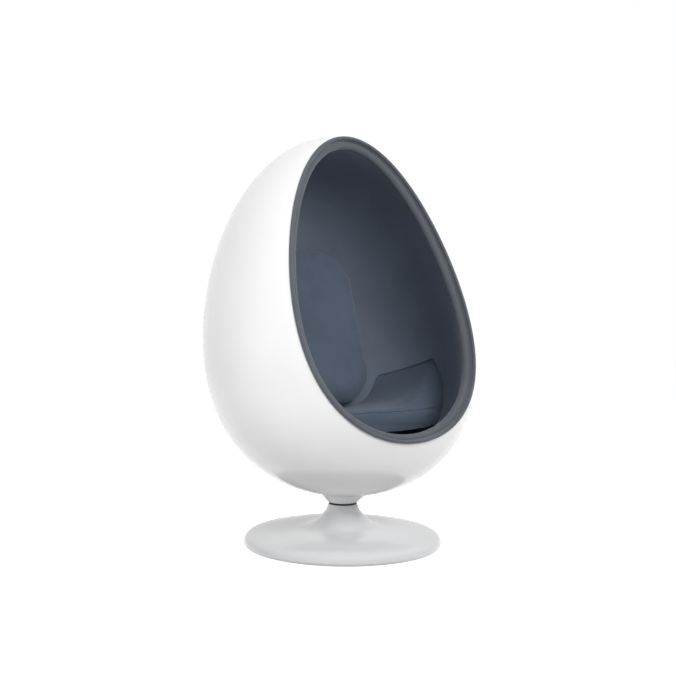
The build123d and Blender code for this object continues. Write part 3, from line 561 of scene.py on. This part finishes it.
# ---------------------------------------------------------------- shell foot
def shell_foot():
    """The shell's underside drawn down in a smooth flare to the swivel."""
    columns, rows = 144, 26
    step = 0.004                 # either side of where the flare starts, to take the shell's slope there
    shell = BVHTree.FromObject(NODES["egg_shell"], bpy.context.evaluated_depsgraph_get())
    turn = np.linspace(0, 2 * math.pi, columns, endpoint=False)
    rings = np.zeros((rows, columns, 3))
    for c, t in enumerate(turn):
        outward = np.array((math.cos(t), math.sin(t)))

        def underside(radius):
            x, y = outward * radius
            return shell.ray_cast(Vector((x, y, 0.05)), Vector((0, 0, 1)))[0].z

        top = underside(FOOT_REACH)
        slope = (underside(FOOT_REACH + step) - underside(FOOT_REACH - step)) / (2 * step)
        start, end = np.array((FOOT_RADIUS, FOOT_Z)), np.array((FOOT_REACH, top + 0.0003))
        pull_start = start + np.array((0.018, 0.018))
        pull_end = end - np.array((1.0, slope)) * 0.034
        for r in range(rows):
            s = r / (rows - 1)
            place = ((1 - s) ** 3 * start + 3 * (1 - s) ** 2 * s * pull_start
                     + 3 * (1 - s) * s * s * pull_end + s ** 3 * end)
            rings[r, c] = (outward[0] * place[0], outward[1] * place[0], place[1])
    lip = rings[0].copy()
    inner = lip * np.array((FOOT_LIP_SHARE, FOOT_LIP_SHARE, 1.0))
    roof = inner + np.array((0, 0, FOOT_LIP_RISE))
    vertices = np.vstack([roof, inner, rings.reshape(-1, 3)])
    return new_piece("shell_foot", vertices, grid_faces(rows + 2, columns))


# ---------------------------------------------------------------- materials
def principled(name, color, roughness, metallic=0.0, specular=0.5, sheen=0.0, sheen_roughness=0.5,
               coat=0.0, coat_roughness=0.1):
    """A surface, with what holds all over it set on the shader itself."""
    material = bpy.data.materials.new(name)
    material.use_nodes = True
    shader = material.node_tree.nodes["Principled BSDF"]
    shader.inputs["Base Color"].default_value = (*color, 1)
    shader.inputs["Roughness"].default_value = roughness
    shader.inputs["Metallic"].default_value = metallic
    shader.inputs["Specular IOR Level"].default_value = specular
    shader.inputs["Sheen Weight"].default_value = sheen
    shader.inputs["Sheen Roughness"].default_value = sheen_roughness
    shader.inputs["Coat Weight"].default_value = coat
    shader.inputs["Coat Roughness"].default_value = coat_roughness
    return material, shader


def texture(material, kind, scale, stretch=(1, 1, 1), **settings):
    """A procedural texture in object coordinates."""
    tree = material.node_tree
    place = tree.nodes.new("ShaderNodeTexCoord")
    mapping = tree.nodes.new("ShaderNodeMapping")
    mapping.inputs["Scale"].default_value = stretch
    node = tree.nodes.new(kind)
    node.inputs["Scale"].default_value = scale
    for key, value in settings.items():
        node.inputs[key.replace("_", " ").title()].default_value = value
    tree.links.new(place.outputs["Object"], mapping.inputs["Vector"])
    tree.links.new(mapping.outputs["Vector"], node.inputs["Vector"])
    return node


def ramp(material, source, stops):
    """Maps a 0 to 1 value to colours."""
    node = material.node_tree.nodes.new("ShaderNodeValToRGB")
    while len(node.color_ramp.elements) < len(stops):
        node.color_ramp.elements.new(0.5)
    for element, (place, color) in zip(node.color_ramp.elements, stops):
        element.position = place
        element.color = (*color, 1)
    material.node_tree.links.new(source, node.inputs["Fac"])
    return node.outputs["Color"]


def spread(material, source, low, high):
    """Maps a 0 to 1 value to a range."""
    node = material.node_tree.nodes.new("ShaderNodeMapRange")
    node.inputs["To Min"].default_value = low
    node.inputs["To Max"].default_value = high
    material.node_tree.links.new(source, node.inputs["Value"])
    return node.outputs["Result"]


def mixed(material, a, b, share):
    node = material.node_tree.nodes.new("ShaderNodeMix")
    node.data_type = "RGBA"
    node.blend_type = "MULTIPLY"
    node.inputs["Factor"].default_value = share
    material.node_tree.links.new(a, node.inputs[6])
    material.node_tree.links.new(b, node.inputs[7])
    return node.outputs[2]


def bump(material, shader, heights):
    """Chains bumps: pairs of a height output and its strength and distance."""
    tree = material.node_tree
    last = None
    for source, strength, distance in heights:
        node = tree.nodes.new("ShaderNodeBump")
        node.inputs["Strength"].default_value = strength
        node.inputs["Distance"].default_value = distance
        tree.links.new(source, node.inputs["Height"])
        if last is not None:
            tree.links.new(last, node.inputs["Normal"])
        last = node.outputs["Normal"]
    tree.links.new(last, shader.inputs["Normal"])


def link(material, source, shader, socket):
    material.node_tree.links.new(source, shader.inputs[socket])


def gelcoat(name, color, roughness):
    """White polished laminate: faint unevenness in tone, gloss and level."""
    material, shader = principled(name, color, roughness, coat=0.35, coat_roughness=0.08)
    cloud = texture(material, "ShaderNodeTexNoise", 3.0, detail=3.0)
    peel = texture(material, "ShaderNodeTexNoise", 140.0, detail=2.0)
    dull = tuple(c * 0.975 for c in color)
    gloss = spread(material, cloud.outputs["Fac"], roughness * 0.85, roughness * 1.2)
    link(material, ramp(material, cloud.outputs["Fac"], ((0.3, dull), (0.7, color))), shader, "Base Color")
    link(material, gloss, shader, "Roughness")
    bump(material, shader, [(peel.outputs["Fac"], 0.05, 0.0004), (cloud.outputs["Fac"], 0.10, 0.004)])
    return material


def cloth(name, color, thread, sheen=0.35):
    """Felted wool cloth: mottled yarns, a soft nap and a fine twill."""
    material, shader = principled(name, color, 0.92, specular=0.22, sheen=sheen, sheen_roughness=0.45)
    shader.inputs["Sheen Tint"].default_value = (0.78, 0.84, 0.95, 1)
    cloud = texture(material, "ShaderNodeTexNoise", 9.0, detail=4.0, roughness=0.55)
    fleck = texture(material, "ShaderNodeTexNoise", 420.0, detail=3.0, roughness=0.7)
    twill = texture(material, "ShaderNodeTexWave", thread, stretch=(1.0, 0.83, 0.71),
                    distortion=1.6, detail=2.0)
    dark, light = tuple(c * 0.94 for c in color), tuple(c * 1.06 for c in color)
    base = ramp(material, cloud.outputs["Fac"], ((0.32, dark), (0.68, light)))
    yarn = ramp(material, fleck.outputs["Fac"], ((0.30, (0.72, 0.73, 0.75)), (0.72, (1.0, 1.0, 1.0))))
    link(material, mixed(material, base, yarn, 0.8), shader, "Base Color")
    bump(material, shader, [(twill.outputs["Fac"], 0.20, 0.0003), (fleck.outputs["Fac"], 0.35, 0.0004),
                            (cloud.outputs["Fac"], 0.06, 0.002)])
    return material


def metal(name, color, roughness, scale=60.0, stretch=(1, 1, 12)):
    """Bare metal with fine machining lines."""
    material, shader = principled(name, color, roughness, metallic=1.0)
    lines = texture(material, "ShaderNodeTexNoise", scale, stretch=stretch, detail=4.0)
    dark = tuple(c * 0.82 for c in color)
    gloss = spread(material, lines.outputs["Fac"], roughness * 0.8, roughness * 1.3)
    link(material, ramp(material, lines.outputs["Fac"], ((0.3, dark), (0.7, color))), shader, "Base Color")
    link(material, gloss, shader, "Roughness")
    bump(material, shader, [(lines.outputs["Fac"], 0.08, 0.0002)])
    return material


def grained(name, color, roughness, scale, depth, contrast=0.2, stretch=(1, 1, 1), specular=0.4):
    """Moulded, cast, felted or foamed material: a speckle of its own grain."""
    material, shader = principled(name, color, roughness, specular=specular)
    grain = texture(material, "ShaderNodeTexNoise", scale, stretch=stretch, detail=5.0, roughness=0.6)
    dark = tuple(c * (1 - contrast) for c in color)
    light = tuple(min(1, c * (1 + contrast / 2)) for c in color)
    gloss = spread(material, grain.outputs["Fac"], roughness * 0.9, min(1, roughness * 1.1))
    link(material, ramp(material, grain.outputs["Fac"], ((0.3, dark), (0.7, light))), shader, "Base Color")
    link(material, gloss, shader, "Roughness")
    bump(material, shader, [(grain.outputs["Fac"], 0.4, depth)])
    return material


def all_materials():
    return {
        "shell_gelcoat": gelcoat("shell_gelcoat", (0.90, 0.90, 0.90), 0.20),
        "base_paint": gelcoat("base_paint", (0.67, 0.675, 0.685), 0.24),
        "zinc_steel": metal("zinc_steel", (0.62, 0.62, 0.63), 0.34),
        "ballast_iron": grained("ballast_iron", (0.05, 0.05, 0.052), 0.7, 180.0, 0.0008),
        "bearing_steel": metal("bearing_steel", (0.74, 0.74, 0.75), 0.16, stretch=(1, 1, 1)),
        "bush_plastic": grained("bush_plastic", (0.74, 0.71, 0.62), 0.5, 120.0, 0.0003, 0.08),
        "dust_rubber": grained("dust_rubber", (0.022, 0.022, 0.024), 0.62, 260.0, 0.0003),
        "floor_felt": grained("floor_felt", (0.035, 0.035, 0.037), 0.95, 420.0, 0.0010, 0.35, specular=0.1),
        "plywood": grained("plywood", (0.52, 0.37, 0.22), 0.6, 30.0, 0.0005, 0.25, stretch=(1, 9, 9)),
        "foam": grained("foam", (0.66, 0.60, 0.44), 0.95, 600.0, 0.0010, 0.18, specular=0.1),
        "lining_fabric": cloth("lining_fabric", (0.205, 0.240, 0.305), 300.0),
        "cushion_fabric": cloth("cushion_fabric", (0.118, 0.150, 0.200), 340.0),
        "trim_fabric": cloth("trim_fabric", (0.120, 0.130, 0.148), 300.0, sheen=0.5),
    }


def dress_frame(materials):
    """Gives each CAD node the finish of its slot."""
    slots = {s["node"]: s["material_slot"] for s in frame["record"]["subparts"]}
    for name, node in NODES.items():
        finish = materials[slots[name]]
        if not node.material_slots:
            node.data.materials.append(finish)
        for place in node.material_slots:
            place.material = finish


def finish_piece(piece, body, slot, materials, nodes=()):
    piece.data.materials.clear()
    piece.data.materials.append(materials[slot])
    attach(piece, body)
    if nodes:
        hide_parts(*nodes)


# ---------------------------------------------------------------- stage
CAMERA_AZIMUTH = math.radians(-37.459)
CAMERA_ELEVATION = math.radians(1.143)
CAMERA_ROLL = math.radians(0.540)
CAMERA_DISTANCE = 3.0963
CAMERA_SHIFT = -0.01968      # the aim's offset along the picture's horizontal
CAMERA_AIM_Z = 0.63827
FOCAL_PIXELS = 1000.0
PICTURE_PIXELS = 676.0
SENSOR = 36.0


def camera():
    a, e, r = CAMERA_AZIMUTH, CAMERA_ELEVATION, CAMERA_ROLL
    right = Vector((math.cos(a), math.sin(a), 0))
    back = Vector((math.sin(a) * math.cos(e), -math.cos(a) * math.cos(e), math.sin(e)))
    up = back.cross(right)
    aim = right * CAMERA_SHIFT + Vector((0, 0, CAMERA_AIM_Z))
    turned_right = right * math.cos(r) + up * math.sin(r)
    turned_up = up * math.cos(r) - right * math.sin(r)
    data = bpy.data.cameras.new("camera")
    data.sensor_fit = "HORIZONTAL"
    data.sensor_width = SENSOR
    data.lens = FOCAL_PIXELS / PICTURE_PIXELS * SENSOR
    data.clip_end = 60
    view = bpy.data.objects.new("camera", data)
    view.matrix_world = Matrix.Translation(aim + back * CAMERA_DISTANCE) @ Matrix(
        (turned_right, turned_up, back)).transposed().to_4x4()
    bpy.context.scene.collection.objects.link(view)
    bpy.context.scene.camera = view


WORLD_LIGHT = 0.03           # what the white surroundings give matt surfaces


def seen_directly(tree):
    """1 for rays that show the background itself: camera, mirror and glass rays."""
    path = tree.nodes.new("ShaderNodeLightPath")
    outputs = [path.outputs[n] for n in ("Is Camera Ray", "Is Glossy Ray", "Is Transmission Ray")]
    total = outputs[0]
    for other in outputs[1:]:
        most = tree.nodes.new("ShaderNodeMath")
        most.operation = "MAXIMUM"
        tree.links.new(total, most.inputs[0])
        tree.links.new(other, most.inputs[1])
        total = most.outputs[0]
    return total


def world():
    surroundings = bpy.data.worlds.new("studio")
    surroundings.use_nodes = True
    bpy.context.scene.world = surroundings
    tree = surroundings.node_tree
    shown = tree.nodes["Background"]
    shown.inputs["Color"].default_value = (1, 1, 1, 1)
    shown.inputs["Strength"].default_value = 1.0
    lit = tree.nodes.new("ShaderNodeBackground")
    lit.inputs["Color"].default_value = (1, 1, 1, 1)
    lit.inputs["Strength"].default_value = WORLD_LIGHT
    mix = tree.nodes.new("ShaderNodeMixShader")
    tree.links.new(seen_directly(tree), mix.inputs["Fac"])
    tree.links.new(lit.outputs[0], mix.inputs[1])
    tree.links.new(shown.outputs[0], mix.inputs[2])
    tree.links.new(mix.outputs[0], tree.nodes["World Output"].inputs["Surface"])


LAMP_AIM = Vector((0, 0, 0.75))
LAMP_DISTANCE = 3.5


def lamp(name, azimuth, elevation, size, power):
    """A round softbox aimed at the pod; azimuth 0 is in front of it. Mirror rays don't see it."""
    turn, rise = math.radians(azimuth), math.radians(elevation)
    away = Vector((math.cos(rise) * math.sin(turn), -math.cos(rise) * math.cos(turn), math.sin(rise)))
    data = bpy.data.lights.new(name, "AREA")
    data.shape = "DISK"
    data.size = size
    data.energy = power
    light = bpy.data.objects.new(name, data)
    light.visible_glossy = False
    light.location = LAMP_AIM + away * LAMP_DISTANCE
    light.rotation_euler = (-away).to_track_quat("-Z", "Y").to_euler()
    bpy.context.scene.collection.objects.link(light)


FLOOR_GLOW = 0.985           # lifts the floor to white where nothing shades it


def floor():
    half = 14.0
    piece = new_piece("floor", [(-half, -half, 0), (half, -half, 0), (half, half, 0), (-half, half, 0)],
                      [(0, 1, 2, 3)], smooth=False)
    material = bpy.data.materials.new("pale_floor")
    material.use_nodes = True
    tree = material.node_tree
    tree.nodes.remove(tree.nodes["Principled BSDF"])
    matt = tree.nodes.new("ShaderNodeBsdfDiffuse")
    matt.inputs["Color"].default_value = (0.55, 0.55, 0.55, 1)
    glow = tree.nodes.new("ShaderNodeEmission")
    scale = tree.nodes.new("ShaderNodeMath")
    scale.operation = "MULTIPLY"
    scale.inputs[1].default_value = FLOOR_GLOW
    tree.links.new(seen_directly(tree), scale.inputs[0])
    tree.links.new(scale.outputs[0], glow.inputs["Strength"])
    both = tree.nodes.new("ShaderNodeAddShader")
    tree.links.new(matt.outputs[0], both.inputs[0])
    tree.links.new(glow.outputs[0], both.inputs[1])
    tree.links.new(both.outputs[0], tree.nodes["Material Output"].inputs["Surface"])
    piece.data.materials.append(material)


def studio():
    camera()
    world()
    floor()
    lamp("left", -100, 10, 2.2, 53)
    lamp("front", -10, 27, 1.4, 68)
    lamp("low_front", 8, 22, 1.4, 16)
    lamp("right", 60, 20, 1.8, 28)
    lamp("top", 0, 85, 2.6, 26)
    lamp("front_left", -37, 35, 1.6, 12)
    lamp("high_left", -60, 55, 1.8, 10)
    lamp("rear", 180, 40, 2.2, 7)
    bpy.context.scene.view_settings.view_transform = "Standard"


# ---------------------------------------------------------------- the scene
def build():
    materials = all_materials()
    dress_frame(materials)
    names = hide_names()
    studio()

    finish_piece(shell_foot(), "pod", "shell_gelcoat", materials, names["foot"])
    finish_piece(lining(), "pod", "lining_fabric", materials, names["lining"])
    finish_piece(rim_roll(), "pod", "trim_fabric", materials, names["roll"])
    finish_piece(rim_piping(), "pod", "trim_fabric", materials, names["piping"])
    finish_piece(groove_tape(), "pod", "trim_fabric", materials)

    seat = seat_cushion()
    finish_piece(seat, "pod", "cushion_fabric", materials, names["seat"])
    for welt in seat_welts(seat):
        finish_piece(welt, "pod", "cushion_fabric", materials)
    back = back_cushion(seat)
    finish_piece(back, "back_cushion", "cushion_fabric", materials, names["back"])
    finish_piece(back_welt(back), "back_cushion", "cushion_fabric", materials)


build()
bpy.context.view_layer.update()
